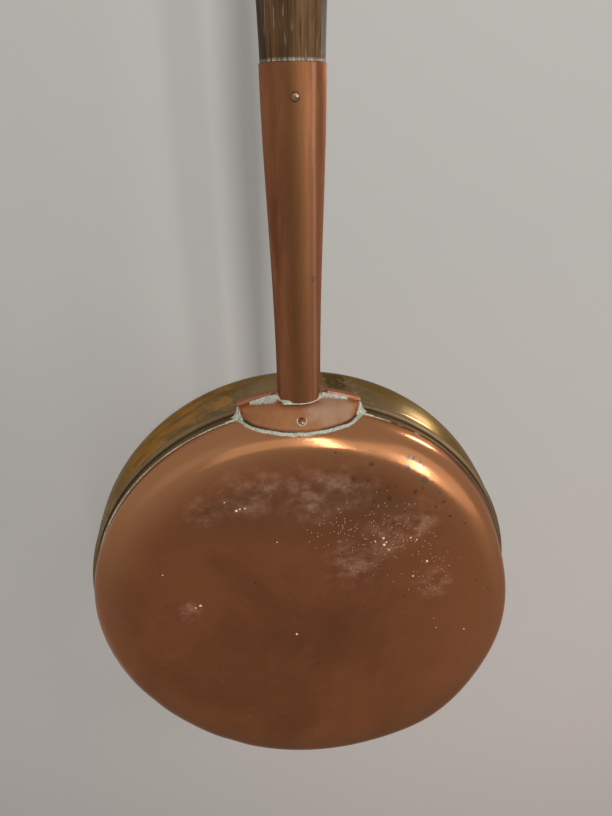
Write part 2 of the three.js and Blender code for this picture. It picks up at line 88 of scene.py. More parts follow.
def feed(node, *first, **named):
    """Fills a node's first sockets in their order, and others by name, with an underscore for a space."""
    for socket, value in zip(node.inputs, first):
        fill(socket, value)
    for name, value in named.items():
        fill(node.inputs[name.replace("_", " ")], value)
    return node


def put(tree, kind, *first, **named):
    """A new shader node. Names in small letters are its settings, and the rest goes to its sockets."""
    made = tree.nodes.new("ShaderNode" + kind)
    for name in [name for name in named if name[0].islower()]:
        setattr(made, name, named.pop(name))
    return feed(made, *first, **named)


def maths(operation, *values):
    """One sum on values of which at least one changes over the surface."""
    tree = next(value.id_data for value in values if isinstance(value, bpy.types.NodeSocket))
    return put(tree, "Math", *values, operation=operation).outputs[0]


def times(value, *others):
    for other in others:
        value = maths("MULTIPLY", value, other)
    return value


def mixed(share, a, b):
    """Two colours mixed by a share that changes over the surface."""
    made = put(share.id_data, "Mix", share, data_type="RGBA")
    fill(made.inputs[6], a)
    fill(made.inputs[7], b)
    return made.outputs[2]


def clouded(where, scale, detail, roughness=0.5, stretch=None, shift=(0, 0, 0), **named):
    """A cloudy noise over the surface, on coordinates that may be stretched and shifted first."""
    if stretch:
        where = put(where.id_data, "Mapping", where, Scale=stretch, Location=shift).outputs[0]
    return put(where.id_data, "TexNoise", Vector=where, Scale=scale, Detail=detail, Roughness=roughness,
               **named).outputs["Fac"]


def axes(where):
    """The coordinates of a place, by their names."""
    return put(where.id_data, "SeparateXYZ", where).outputs


def material(name, **plain):
    """A new material and its Principled shader, with the given plain sockets."""
    made = bpy.data.materials.new(name)
    made.use_nodes = True
    return made, feed(made.node_tree.nodes["Principled BSDF"], **plain)


def shown(name, bm):
    """An object in the scene made of a bmesh, which is used up."""
    mesh = bpy.data.meshes.new(name)
    bm.to_mesh(mesh)
    bm.free()
    return placed(name, mesh)


def stage_board(name, matrix):
    """A wide flat board with a faintly mottled plaster finish."""
    bm = bmesh.new()
    bmesh.ops.create_grid(bm, x_segments=4, y_segments=4, size=STAGE_HALF)
    bmesh.ops.transform(bm, matrix=matrix, verts=bm.verts)
    board = shown(name, bm)
    finish, shader = material(name, Roughness=0.9, Specular_IOR_Level=0.15)
    where = put(finish.node_tree, "TexCoord").outputs["Object"]
    darker, lighter = ([c * share for c in PALE] for share in (1 - MOTTLE, 1 + MOTTLE))
    tone = mixed(clouded(where, 3, 3), darker, lighter)
    feed(shader, Base_Color=tone)
    board.data.materials.append(finish)
    return board, shader, where, tone


floor = stage_board("floor", Matrix.Translation((0, 0, FLOOR_Z)))[0]
floor.visible_glossy = False
wall, shader, where, tone = stage_board(
    "wall", Matrix.Translation((0, WALL_Y, FLOOR_Z + STAGE_HALF)) @ turned(90, "X"))
wall.visible_diffuse = wall.visible_glossy = wall.visible_shadow = False
# Painted light: the wall is painted a little warmer and lighter low down, most of all on the right.
tree, parts = shader.id_data, axes(where)
low_down = put(tree, "MapRange", parts["Z"], -0.75, -1.55, 0, 0.65).outputs[0]
rightward = put(tree, "MapRange", parts["X"], -0.35, 0.45, 0.35, 1.3).outputs[0]
feed(shader, Base_Color=mixed(times(low_down, rightward), tone, PAINTED_WALL_LIGHT))
one_sided = put(tree, "MixShader", put(tree, "NewGeometry").outputs["Backfacing"], shader.outputs["BSDF"],
                put(tree, "BsdfTransparent").outputs["BSDF"])
feed(tree.nodes["Material Output"], Surface=one_sided.outputs[0])


def lamp(name, place, aim, width, height, watts, colour=DAYLIGHT, roll=0, mirrored=True):
    """A soft rectangular lamp that points at a height on the pan's axis. Metal may mirror it or not."""
    data = bpy.data.lights.new(name, "AREA")
    data.shape, data.size, data.size_y = "RECTANGLE", width, height
    data.energy, data.color = watts, colour
    toward = (Vector((0, 0, aim)) - Vector(place)).to_track_quat("-Z", "Y").to_matrix().to_4x4()
    made = placed(name, data, Matrix.Translation(place) @ toward @ turned(roll))
    made.visible_glossy = mirrored


lamp("high_window", (0.42, -1.78, 0.24), -0.9, 0.07, 1.3, 7)
lamp("low_window", (1.45, -1.5, -0.46), -0.9, 0.06, 1, 6, roll=-42)
lamp("side_window", (1.9, -1.1, -0.2), -0.85, 2.2, 2.2, 7, SIDE_LIGHT)
lamp("sky_window", (-0.3, -1.7, 0.5), -0.9, 1.9, 1.3, 2.5)
lamp("back_window", (1.7, 1.85, -0.35), -0.85, 0.16, 0.5, 6.5, BACK_LIGHT)
lamp("upper_glow", (1, -1.75, 0.95), -0.9, 0.45, 0.45, 9, SOFT_LIGHT, mirrored=False)
lamp("ceiling_glow", (0.13, -1.95, 0.12), -0.8, 0.18, 0.18, 29, SOFT_LIGHT, mirrored=False)

# The rest of the room: pale behind the pan and above, dimmer low down in front.
world = bpy.data.worlds.new("room")
world.use_nodes = True
bpy.context.scene.world = world
way = axes(put(world.node_tree, "TexCoord").outputs["Generated"])
brightness = maths("MULTIPLY_ADD", way["Y"], 0.7, way["Z"])
brightness = put(world.node_tree, "MapRange", brightness, -1, 0.5).outputs[0]
feed(world.node_tree.nodes["Background"],
     Color=mixed(brightness, (0.30, 0.292, 0.283), (0.39, 0.38, 0.367)))

# -------------------- copper bowl
# Raised from one sheet of copper: a flat bottom, a rounded shoulder and an upright wall. The bottom has gone
# brown with age and use; the shoulder is painted brighter above and on the right, as painted light. Sizes
# are in millimetres from the pan's centre.
PAN = (0, -4, -944.8)
BOWL_RADIUS, BOWL_DEPTH, BOTTOM_CROWN, REST_RADIUS = 144, 29, 1.5, 80
SHOULDER_REACH, WALL_BELOW_SEAM, BOWL_LAP, COPPER_SHEET = 18, 8, 4.5, 1.4
SHOULDER_RADIUS = BOWL_RADIUS - SHOULDER_REACH
# Knocks on the shoulder: (degrees round from +X towards +Z, spread in degrees, depth in millimetres), where
# a depth below nothing is a bulge. The lower half of the bottom is beaten deeper on the right, by a slant.
KNOCKS = [(20, 18, 2.6), (215, 5, 0.6), (229, 12, 1), (245, 4, 0.8), (311, 14, -2.4), (340, 12, 0.8)]
BOTTOM_SLANT = 0.056
COPPER_EDGE, SCRATCHED = (0.85, 0.62, 0.5), (0.95, 0.75, 0.62)
BLOOM_PATCHES = [(-36, 101, 21), (-22, 106, 14), (6, 99, 26), (28, 103, 20), (70, 76, 18), (85, 27, 14),
                 (52, 64, 20), (-62, 92, 14), (-77, 12, 9), (30, 45, 22)]
DARK_SPOTS = [
    (41, 118, 2), (30, 109, 1.8), (39, 107, 1.3), (38, 104, 0.9), (52, 102, 1.1), (47, 100, 0.9),
    (57, 101, 0.9), (56, 96, 0.9), (53, 93, 2.4), (69, 97, 1.8), (74, 99, 1), (85, 95, 1.1),
    (88, 88, 1.4), (83, 85, 1.4), (93, 77, 1.2), (103, 71, 1.2), (43, 92, 1.6), (56, 75, 1.8),
    (37, 94, 1), (63, 83, 1.2), (41, 87, 1.2), (19, 127, 1.1), (-33, 34, 1.2), (7, -40, 1.4),
    (3, -20, 0.9), (22, 53, 1.2), (66, 17, 1.1), (114, 26, 1.1), (123, 19, 1)]
GREY_SPOTS = [(64, 119, 2.1), (71, 115, 2), (73, 112, 2.4), (64, 114, 2.2), (75, 105, 2.8), (68, 118, 1.5)]
LONE_FLECKS = [
    (-92, 44, 0.7), (-70, 17, 1.3), (-73, 15, 0.9), (-7, -12, 1.1), (-42, 91, 1.2), (-40, 92, 0.9),
    (-49, 97, 0.8), (-37, 92, 0.9), (80, 44, 1.1), (71, 33, 0.8), (50, 64, 1.3), (51, 59, 1.3),
    (52, 61, 0.9), (45, 62, 0.9), (54, 55, 0.8), (68, 63, 0.9), (72, 61, 0.8), (-18, 66, 0.7),
    (109, -14, 0.7), (89, -11, 0.6), (87, -3, 0.6)]
DUSTED = [(52, 64, 34), (78, 40, 22), (20, 75, 20)]


def plus(a, b):
    return maths("ADD", a, b)


def less(a, b):
    return maths("SUBTRACT", a, b)


def apart(a, b):
    return maths("ABSOLUTE", less(a, b))


def ramped(value, low, high, start=0, end=1):
    """A smooth step from start to end as the value goes from low to high."""
    return put(value.id_data, "MapRange", value, low, high, start, end,
               interpolation_type="SMOOTHSTEP").outputs[0]


def embossed(shader, height, distance, strength=0.6):
    """Relief from a height."""
    relief = put(height.id_data, "Bump", Height=height, Strength=strength, Distance=distance)
    feed(shader, Normal=relief.outputs["Normal"])


def centred(finish, centre=PAN, scale=(1, 1, 1)):
    """Object coordinates counted from a piece's centre, in metres times a scale."""
    return put(finish.node_tree, "Mapping", put(finish.node_tree, "TexCoord").outputs["Object"],
               Location=[-c * s / 1000 for c, s in zip(centre, scale)], Scale=scale).outputs[0]


def hairlines(where, turn, stretch, scale, width, seed):
    """Fine straight marks along one direction: the lines where a stretched noise crosses its middle."""
    along = put(where.id_data, "Mapping", where, Rotation=turn).outputs[0]
    return ramped(apart(clouded(along, scale, 1, stretch=stretch, shift=seed), 0.5), 0, width, 1, 0)


# Worn metal, shared by every metal piece: clouds of tarnish over rubbed metal, and fine scratches.
worn_metal = bpy.data.node_groups.new("Worn metal", "ShaderNodeTree")
for label, kind, value in (
        ("Vector", "Vector", None), ("Bright", "Color", None), ("Dull", "Color", None),
        ("Stain", "Color", None), ("Cloud scale", "Float", 14), ("Scratch scale", "Float", 160),
        ("Scratches", "Float", 0.5), ("Polished", "Float", 0.2), ("Hazed", "Float", 0.4)):
    socket = worn_metal.interface.new_socket(label, in_out="INPUT", socket_type="NodeSocket" + kind)
    if value:
        socket.default_value = value
for label, kind in (("Color", "Color"), ("Roughness", "Float"), ("Height", "Float")):
    worn_metal.interface.new_socket(label, in_out="OUTPUT", socket_type="NodeSocket" + kind)
given = worn_metal.nodes.new("NodeGroupInput").outputs
where = given["Vector"]
clouds = ramped(clouded(where, given["Cloud scale"], 6, 0.62, Distortion=0.4), 0.36, 0.66)
far = put(worn_metal, "VectorMath", where, operation="SCALE", Scale=2.7).outputs[0]
stains = ramped(clouded(far, given["Cloud scale"], 8, 0.7), 0.52, 0.74)
marks = plus(hairlines(where, (0, 0.7, 0), (1, 1, 0.13), given["Scratch scale"], 0.013, (3, 1, 2)),
             hairlines(where, (0, -1.1, 0.2), (1, 1, 0.1), given["Scratch scale"], 0.010, (7, 5, 1)))
marks = times(marks, ramped(clouded(where, 38, 3), 0.45, 0.7), given["Scratches"])
tone = mixed(clouds, given["Bright"], given["Dull"])
tone = mixed(times(stains, 0.7), tone, given["Stain"])
tone = mixed(times(marks, 0.5), tone, SCRATCHED)
grain = ramped(clouded(where, 1400, 2), 0.2, 0.8, 0.94, 1.06)
haze = plus(times(clouds, 0.6), times(stains, 0.5))
gloss = put(worn_metal, "MapRange", haze, To_Min=given["Polished"], To_Max=given["Hazed"]).outputs[0]
dents_and_tooth = plus(clouded(where, 26, 1), times(clouded(where, 420, 2), 0.012))
feed(worn_metal.nodes.new("NodeGroupOutput"),
     Color=put(worn_metal, "HueSaturation", Color=tone, Value=grain).outputs["Color"],
     Roughness=plus(gloss, times(marks, 0.12)),
     Height=less(dents_and_tooth, times(marks, 0.03)))


def metal(name, bump=0.0006, centre=PAN, scale=(1, 1, 1), edge=COPPER_EDGE, **values):
    """A metal finish made from the shared worn metal, and what a piece needs to add to it."""
    made, shader = material(name, Metallic=1, Specular_Tint=edge)
    where = centred(made, centre, scale)
    worn = put(made.node_tree, "Group", node_tree=worn_metal, Vector=where, **values).outputs
    feed(shader, Base_Color=worn["Color"], Roughness=worn["Roughness"])
    embossed(shader, worn["Height"], bump)
    return made, shader, where, worn


def across_pan(where):
    """A place with its depth left out."""
    return put(where.id_data, "VectorMath", where, (1, 0, 1), operation="MULTIPLY").outputs[0]


def dabs(where, places, wobble, core, edge, strength):
    """Round marks of (x, z, radius) in millimetres with wobbly outlines. They have their full strength out
    to a core share of the radius, and fade to nothing at an edge share."""
    tree = where.id_data
    uneven = put(tree, "TexNoise", Vector=where, Scale=260, Detail=2).outputs["Color"]
    uneven = put(tree, "VectorMath", uneven, operation="SCALE", Scale=wobble).outputs[0]
    level = put(tree, "VectorMath", across_pan(where), uneven, operation="ADD").outputs[0]
    nearest = None
    for x, z, radius in places:
        middle = [x / 1000 + wobble / 2, wobble / 2, z / 1000 + wobble / 2]
        gap = put(tree, "VectorMath", level, middle, operation="DISTANCE").outputs["Value"]
        gap = times(gap, 1000 / radius)
        nearest = gap if nearest is None else maths("MINIMUM", nearest, gap)
    return ramped(nearest, core, edge, strength, 0)


def sheet_profile(path, thickness):
    """The closed section of a sheet that follows a path of (radius, height) and lies to its left."""
    inner = []
    for i, (x, y) in enumerate(path):
        before, after = path[max(i - 1, 0)], path[min(i + 1, len(path) - 1)]
        normals = []
        for (ax, ay), (bx, by) in ((before, (x, y)), ((x, y), after)):
            length = hypot(bx - ax, by - ay)
            if length:
                normals.append((-(by - ay) / length, (bx - ax) / length))
        (ax, ay), (bx, by) = normals[0], normals[-1]
        share = thickness / (1 + ax * bx + ay * by)
        inner.append((x + (ax + bx) * share, y + (ay + by) * share))
    return path + inner[::-1] + path[:1]


def arc(radius, height, across, rise, start, end, steps):
    """Places of (radius, height) along an oval arc from one angle in degrees to another."""
    turns = [radians(start + (end - start) * i / steps) for i in range(steps + 1)]
    return [(radius + across * cos(turn), height + rise * sin(turn)) for turn in turns]


def spun(profile, steps=96, axis="Y"):
    """A profile of (radius, height) pairs spun about an axis."""
    bm = bmesh.new()
    corners = [bm.verts.new((radius, 0, height)) for radius, height in profile]
    lines = [bm.edges.new(pair) for pair in zip(corners, corners[1:])]
    bmesh.ops.spin(bm, geom=corners + lines, cent=(0, 0, 0), axis=(0, 0, 1), angle=2 * pi,
                   steps=steps, use_merge=True)
    bmesh.ops.remove_doubles(bm, verts=bm.verts, dist=1e-4)
    bmesh.ops.recalc_face_normals(bm, faces=bm.faces)
    upright = {"X": turned(90, "Y"), "Y": turned(-90, "X"), "Z": Matrix()}[axis]
    bmesh.ops.rotate(bm, cent=(0, 0, 0), matrix=upright, verts=bm.verts)
    return bm


def piece(name, bm, finish, slot, *nodes, body="pan_and_handle", place=PAN, sharp=35):
    """A finished piece in metres, which rides on a body and stands for CAD nodes."""
    bmesh.ops.translate(bm, vec=place, verts=bm.verts)
    bmesh.ops.scale(bm, vec=(0.001, 0.001, 0.001), verts=bm.verts)
    made = shown(name, bm)
    made.data.shade_smooth()
    made.data.set_sharp_from_angle(angle=radians(sharp))
    made.data.materials.append(finish)
    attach(made, body)
    if nodes:
        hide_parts(*nodes)


def shoulder_at(height):
    """Outside radius of the copper shoulder at a height below the upright wall."""
    down = (-WALL_BELOW_SEAM - height) / (BOWL_DEPTH - WALL_BELOW_SEAM)
    return SHOULDER_RADIUS + SHOULDER_REACH * sqrt(max(0, 1 - down * down))


def eased(low, high, value):
    """A smooth step from 0 to 1."""
    share = min(1, max(0, (value - low) / (high - low)))
    return share * share * (3 - 2 * share)


bowl_path = [(r, -BOWL_DEPTH - BOTTOM_CROWN) for r in (0, 15, 30, 45, 60, 72, REST_RADIUS)]
for i in range(1, 10):
    r = REST_RADIUS + (SHOULDER_RADIUS - REST_RADIUS) * i / 10
    bowl_path.append((r, -BOWL_DEPTH - BOTTOM_CROWN * (1 - eased(REST_RADIUS, SHOULDER_RADIUS, r))))
bowl_path += arc(SHOULDER_RADIUS, -WALL_BELOW_SEAM, SHOULDER_REACH, WALL_BELOW_SEAM - BOWL_DEPTH, 90, 0, 20)
bowl_path += [(BOWL_RADIUS, height) for height in (-5, -2, 1, BOWL_LAP)]
bowl = spun(sheet_profile(bowl_path, COPPER_SHEET), steps=180)
for vert in bowl.verts:
    radius, turn = hypot(vert.co.x, vert.co.z), degrees(atan2(vert.co.z, vert.co.x))
    if radius > 112 and vert.co.y < -1:
        hold = eased(112, 128, radius) * eased(-1, -7, vert.co.y)
        depth = sum(d * exp(-(((turn - at + 180) % 360 - 180) / spread) ** 2)
                    for at, spread, d in KNOCKS)
        vert.co.x *= 1 - depth * hold / radius
        vert.co.z *= 1 - depth * hold / radius
    vert.co.y -= BOTTOM_SLANT * vert.co.x * eased(-2, -24, vert.co.y) * eased(90, -50, vert.co.z)

bowl_finish, shader, where, worn = metal(
    "bowl_copper", Bright=(0.475, 0.172, 0.074), Dull=(0.335, 0.123, 0.054), Stain=(0.345, 0.108, 0.056),
    Polished=0.25, Hazed=0.38, Cloud_scale=9, Scratches=0.14, Scratch_scale=330)
parts = axes(where)
reach = put(shader.id_data, "VectorMath", across_pan(where), operation="LENGTH").outputs["Value"]
shoulder = ramped(reach, 0.112, 0.134)
# Painted light and shade: the shoulder is painted brighter above and the whole bowl brighter orange on the
# right, where the window light falls, and the shoulder darker below, in shade.
tone = mixed(times(shoulder, ramped(parts["Z"], 0.01, 0.11, 0.16, 0.85)), worn["Color"], (0.64, 0.29, 0.125))
tone = mixed(times(ramped(parts["X"], 0.02, 0.13), 0.55), tone, (0.66, 0.26, 0.105))
tone = mixed(times(ramped(parts["Z"], -0.02, -0.1), shoulder, 0.5), tone, (0.2, 0.1, 0.055))
# A painted highlight: a bright orange line round the upper left of the shoulder.
brow = times(ramped(apart(reach, 0.1385), 0, 0.0035, 0.5, 0), ramped(parts["Z"], 0.08, 0.115))
tone = mixed(times(brow, ramped(parts["X"], -0.01, -0.06)), tone, (0.86, 0.4, 0.19))
# A brown band across the top of the flat, darker than the rest of it.
top_flat_band = times(ramped(parts["Z"], 0.055, 0.098), ramped(reach, 0.118, 0.106), 0.5)
tone = mixed(top_flat_band, tone, (0.27, 0.14, 0.075))
# Pale bloom left by old polish, in cloudy patches.
bloom = times(dabs(where, BLOOM_PATCHES, 0.012, 0.2, 1.15, 1),
              ramped(clouded(where, 95, 9, 0.7, stretch=(0.8, 1, 1.1)), 0.36, 0.8))
tone = mixed(times(bloom, 0.5), tone, (0.37, 0.31, 0.285))
# Dark spots on the shoulder and the flat, and grey ones where the spots are polished through.
tone = mixed(dabs(where, DARK_SPOTS, 0.0016, 0.4, 1.1, 0.62), tone, (0.15, 0.09, 0.055))
tone = mixed(dabs(where, GREY_SPOTS, 0.003, 0.5, 1.1, 0.85), tone, (0.26, 0.225, 0.18))
# Flecks of dried polish: a few that stand alone and a dusting on the right of the flat.
level = put(shader.id_data, "CombineXYZ", parts["X"], parts["Z"]).outputs[0]
cells = put(shader.id_data, "TexVoronoi", voronoi_dimensions="2D", Vector=level, Scale=760).outputs
picked = put(shader.id_data, "SeparateColor", cells["Color"]).outputs[0]
dust = times(maths("LESS_THAN", picked, dabs(where, DUSTED, 0.02, 0.2, 1.2, 0.11)),
             ramped(cells["Distance"], 0.05, 0.3, 0.75, 0))
flecks = maths("MAXIMUM", dabs(where, LONE_FLECKS, 0.0018, 0.35, 0.95, 0.85), dust)
gloss = less(worn["Roughness"], times(shoulder, 0.06))
feed(shader, Base_Color=mixed(flecks, tone, (0.78, 0.7, 0.62)),
     Roughness=plus(gloss, plus(times(bloom, 0.22), times(flecks, 0.4))),
     Metallic=less(1, maths("MAXIMUM", times(flecks, 0.95), times(bloom, 0.45))),
     Coat_Weight=times(shoulder, 0.25), Coat_Roughness=0.14)
piece("copper_bowl", bowl, bowl_finish, "copper", "bowl")

# -------------------- rim band
# A brass strip lapped over the top of the copper wall, with its outer edge rolled over an iron wire.
RIM_INSIDE, RIM_SHEET, BEAD_HEIGHT, BEAD_RADIUS, BEAD_MIDDLE = 144.3, 0.8, 7.1, 146.3, 1.6
WIRE_RADIUS, CURL_END = 0.9, -110
BRASS = dict(Bright=(0.37, 0.272, 0.155), Dull=(0.21, 0.15, 0.08), Stain=(0.28, 0.15, 0.065),
             Polished=0.22, Hazed=0.42, edge=(0.6, 0.45, 0.3))

curl = BEAD_MIDDLE - RIM_SHEET / 2
band_path = [(RIM_INSIDE + RIM_SHEET, height) for height in (0, 2.4, 4.8, BEAD_HEIGHT)]
band_path += arc(BEAD_RADIUS, BEAD_HEIGHT, curl, curl, 180, CURL_END, 16)[1:]
# Partly painted shade: the band's brass is darker and less metallic than the lid's, both as its own duller
# metal and as shade under the lid's edge.
band_finish, shader, where, worn = metal(
    "band_brass", Bright=(0.235, 0.165, 0.085), Dull=(0.15, 0.1, 0.048), Stain=(0.17, 0.09, 0.038),
    edge=BRASS["edge"], Polished=0.3, Hazed=0.5, Cloud_scale=16, Scratches=0.1)
feed(shader, Metallic=0.6)
piece("brass_band", spun(sheet_profile(band_path, RIM_SHEET), steps=180), band_finish, "brass", "rim_band")
iron_finish = metal("dark_iron", Bright=(0.16, 0.145, 0.13), Dull=(0.08, 0.07, 0.065),
                    Stain=(0.13, 0.06, 0.03), Polished=0.4, Hazed=0.65, Cloud_scale=60)[0]
piece("rim_iron_wire", spun(arc(BEAD_RADIUS, BEAD_HEIGHT, WIRE_RADIUS, WIRE_RADIUS, 0, 360, 12), steps=120),
      iron_finish, "iron", "rim_wire")

# -------------------- bracket
# Two lobes of sheet copper cap the seam at the handle. The front one slopes down over the bowl's shoulder to
# a round lower edge, and the back one has a rolled front edge and carries the hinge's fixed knuckles.
BRACKET_SHEET, BRACKET_HALF, BRACKET_TOP, BRACKET_TIP_TOP = 1.5, 39, 151.3, 145.23
BRACKET_FLAT, TIP_HEIGHT, FOOT_HEIGHT, BROW_HEIGHT = 13, 3.3, -22.8, -10.7
TIP_POINT, TIP_START, TIP_RISE, TIP_RISE_START = 0.7, 28, 2.2, 31
BACK_REACH, BAR_RADIUS, BAR_RISE, BAR_START, GAP = 12.5, 3.1, 3.3, 15.3, 0.3
KNUCKLE_RADIUS, KNUCKLE_EASE, PIN_RADIUS, LID_KNUCKLE, OUTER_KNUCKLE = 3.2, 0.35, 1.6, 8.6, 6.7
HINGE_HEIGHT, HINGE_UP = 22.8, 153
HALF_HINGE = LID_KNUCKLE / 2 + GAP + OUTER_KNUCKLE
RIVET_HEIGHT, RIVET_HEAD, WING_RIVETS = -18.6, 2.4, [(-25.5, 11.2), (22.5, 11)]


def ridge(x):
    """Top of the bracket along X: level under the socket, then falling to the tips."""
    out = max(0, abs(x) - BRACKET_FLAT) / (BRACKET_HALF - BRACKET_FLAT)
    return BRACKET_TOP - (BRACKET_TOP - BRACKET_TIP_TOP) * out ** 1.5


def lens(x):
    """The share of the lobe's width that is left at x."""
    return sqrt(max(0, 1 - (x / BRACKET_HALF) ** 2))


def pan_surface(x, height):
    """Distance of the pan's outside from its axis level, at x and a height below or above the seam."""
    radius = RIM_INSIDE + RIM_SHEET if height > -GAP else BOWL_RADIUS
    if height < -WALL_BELOW_SEAM:
        radius = shoulder_at(height)
    return sqrt(max(0, radius ** 2 - x ** 2))


def front_foot(x):
    """Lower edge of the front lobe, drawn out to a point at each tip."""
    drawn = lens(x) ** (1 + TIP_POINT * eased(TIP_START, BRACKET_HALF, abs(x)))
    return TIP_HEIGHT + (FOOT_HEIGHT - TIP_HEIGHT) * drawn


def front_brow(x):
    """Height at which the front lobe's slope meets its level top."""
    return TIP_HEIGHT + (BROW_HEIGHT - TIP_HEIGHT) * lens(x)


def front_at(x, height):
    """Outside of the front lobe: on the bowl at its lower edge, then sloping up to the ridge."""
    foot = front_foot(x)
    low = pan_surface(x, foot) + GAP + BRACKET_SHEET + TIP_RISE * eased(TIP_RISE_START, BRACKET_HALF, abs(x))
    rise = (height - foot) / max(1e-6, front_brow(x) - foot)
    share = rise - (rise - 0.75) ** 2 if abs(rise - 1) < 0.25 else min(1, rise)
    return low + (ridge(x) - low) * share


def laid_grid(columns, rows, surface, shade=None):
    """A grid laid on surface(u, v), with u and v from 0 to 1. A shade(v, point) is kept with each point."""
    bm = bmesh.new()
    bmesh.ops.create_grid(bm, x_segments=columns, y_segments=rows, size=0.5)
    across = shade and bm.verts.layers.float.new("across")
    for vert in bm.verts:
        u, v = vert.co.x + 0.5, vert.co.y + 0.5
        vert.co = surface(u, v)
        if shade:
            vert[across] = shade(v, vert.co)
    return bm


def thickened(bm, thickness, moved=None):
    """Closes a grid into a thin solid, towards the pan's axis or to where moved(point) puts its copy."""
    copy = bmesh.ops.extrude_face_region(bm, geom=bm.faces[:], use_keep_orig=True)["geom"]
    for vert in (item for item in copy if isinstance(item, bmesh.types.BMVert)):
        vert.co = moved(vert.co) if moved else vert.co - Vector((0, 0, thickness))
    bmesh.ops.remove_doubles(bm, verts=bm.verts, dist=1e-4)
    bmesh.ops.recalc_face_normals(bm, faces=bm.faces)
    return bm


def laid_sheet(columns, rows, surface, thickness, edge):
    """A sheet on a surface(u, v), with its edges eased."""
    bm = thickened(laid_grid(columns, rows, surface), thickness)
    bm.normal_update()
    corners = [e for e in bm.edges if e.is_manifold and e.calc_face_angle() > radians(50)]
    bmesh.ops.bevel(bm, geom=corners, offset=edge, offset_type="OFFSET", segments=2, profile=0.5,
                    affect="EDGES", material=-1, clamp_overlap=True)
    return bm


def along_bracket(share):
    """Places along the bracket, closer together towards its tips."""
    return -BRACKET_HALF * 0.998 * cos(pi * share)


def front_lobe(u, v):
    """The front lobe from its lower edge up to the seam."""
    x = along_bracket(u)
    height = front_foot(x) + (TIP_HEIGHT - front_foot(x)) * v
    return Vector((x, height, front_at(x, height)))


def back_lobe(u, v):
    """The back lobe over the band, with a rolled bar along its front edge on both sides of the socket."""
    x, front = along_bracket(u), TIP_HEIGHT + GAP
    height = front + BACK_REACH * max(lens(x), 0.25) * v
    across = (height - front - BAR_RADIUS) / BAR_RADIUS
    bar = eased(BAR_START, BAR_START + BAR_RADIUS, abs(x)) * sqrt(max(0, 1 - across ** 2))
    return Vector((x, height, ridge(x) + BAR_RISE * bar))


def combined(base, tool, operation="UNION"):
    """Two closed shells joined or cut."""
    pair = [shown("blank", part) for part in (base, tool)]
    joint = pair[0].modifiers.new("joint", "BOOLEAN")
    joint.operation, joint.solver, joint.object = operation, "EXACT", pair[1]
    made = bmesh.new()
    made.from_object(pair[0], bpy.context.evaluated_depsgraph_get())
    for blank in pair:
        bpy.data.objects.remove(blank)
    bmesh.ops.remove_doubles(made, verts=made.verts, dist=1e-4)
    return made


def shifted(bm, place, turn=0):
    """A shell turned about X by an angle in radians and moved."""
    bmesh.ops.rotate(bm, cent=(0, 0, 0), matrix=Matrix.Rotation(turn, 3, "X"), verts=bm.verts)
    bmesh.ops.translate(bm, vec=place, verts=bm.verts)
    return bm


def rod(radius, low, high, steps, axis):
    """A plain round rod, to drill with."""
    return spun([(0, low), (radius, low), (radius, high), (0, high)], steps, axis)


def two_ended(half, axis):
    """A barrel or pin spun from the profile of one half and its mirror image."""
    return spun([(radius, -reach) for radius, reach in half[::-1]] + half, 32, axis)


def knuckle(width, middle=0):
    """One rolled knuckle of the hinge, with eased rims."""
    half = width / 2
    end = [(0, half), (KNUCKLE_RADIUS - KNUCKLE_EASE, half), (KNUCKLE_RADIUS, half - KNUCKLE_EASE)]
    return shifted(two_ended(end[::-1], "X"), (middle, HINGE_HEIGHT, HINGE_UP))


def bored(shell):
    """A shell with the hole for the hinge's pin drilled through its knuckles."""
    drill = shifted(rod(PIN_RADIUS + GAP, -30, 30, 32, "X"), (0, HINGE_HEIGHT, HINGE_UP))
    return combined(shell, drill, "DIFFERENCE")


def dome_rivet(rise, shank, below):
    """A rivet along Z with a domed head on top and a low hammered tail."""
    tail = (RIVET_HEAD + shank) / 2
    foot = [(0, below - rise * 0.7), (tail * 0.6, below - rise * 0.6), (tail, below)]
    return spun(foot + [(shank, below), (shank, 0)] + arc(0, 0, RIVET_HEAD, rise, 0, 90, 8), 32, "Z")


def lean(outline, height):
    """How fast an outline rises at a height."""
    return outline(height + 0.5) - outline(height - 0.5)


def refinished(node, finish):
    """Gives a plain CAD solid that stays in view a finish."""
    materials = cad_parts[node].data.materials
    materials.clear()
    materials.append(finish)


bracket_finish, shader, where, worn = metal(
    "bracket_copper", Bright=(0.68, 0.32, 0.145), Dull=(0.56, 0.24, 0.105), Stain=(0.48, 0.18, 0.08),
    Polished=0.4, Hazed=0.5, Cloud_scale=30, Scratch_scale=400, Scratches=0.15)
# Painted light and shade: a painted highlight makes the right of the front lobe paler, and painted shade
# makes the back lobe browner.
wear_and_sheen = dabs(where, [(9, 149, 7), (17, 148, 9), (27, 147, 7)], 0.008, 0.3, 1.3, 0.55)
tone = mixed(wear_and_sheen, worn["Color"], (0.8, 0.56, 0.42))
at_back = ramped(axes(where)["Y"], 0.003, 0.0036, 0, 0.75)
feed(shader, Base_Color=mixed(at_back, tone, (0.4, 0.175, 0.105)))
piece("bracket_front", laid_sheet(72, 24, front_lobe, BRACKET_SHEET, 0.35), bracket_finish,
      "copper", "bracket_plate")

back = laid_sheet(72, 20, back_lobe, BRACKET_SHEET, 0.3)
near, low, high = TIP_HEIGHT + GAP + BACK_REACH - 2.2, BRACKET_TOP - BRACKET_SHEET, BRACKET_TOP - 0.05
for side in (-1, 1):
    middle, root = side * (LID_KNUCKLE / 2 + GAP + OUTER_KNUCKLE / 2), bmesh.new()
    seat = Matrix.Translation((middle, (near + HINGE_HEIGHT) / 2, (low + high) / 2))
    size = Matrix.Diagonal((OUTER_KNUCKLE, HINGE_HEIGHT - near, high - low, 1))
    bmesh.ops.create_cube(root, size=1, matrix=seat @ size)
    back = combined(combined(back, root), knuckle(OUTER_KNUCKLE, middle))
piece("bracket_back", bored(back), bracket_finish, "copper", "hinge_plate")

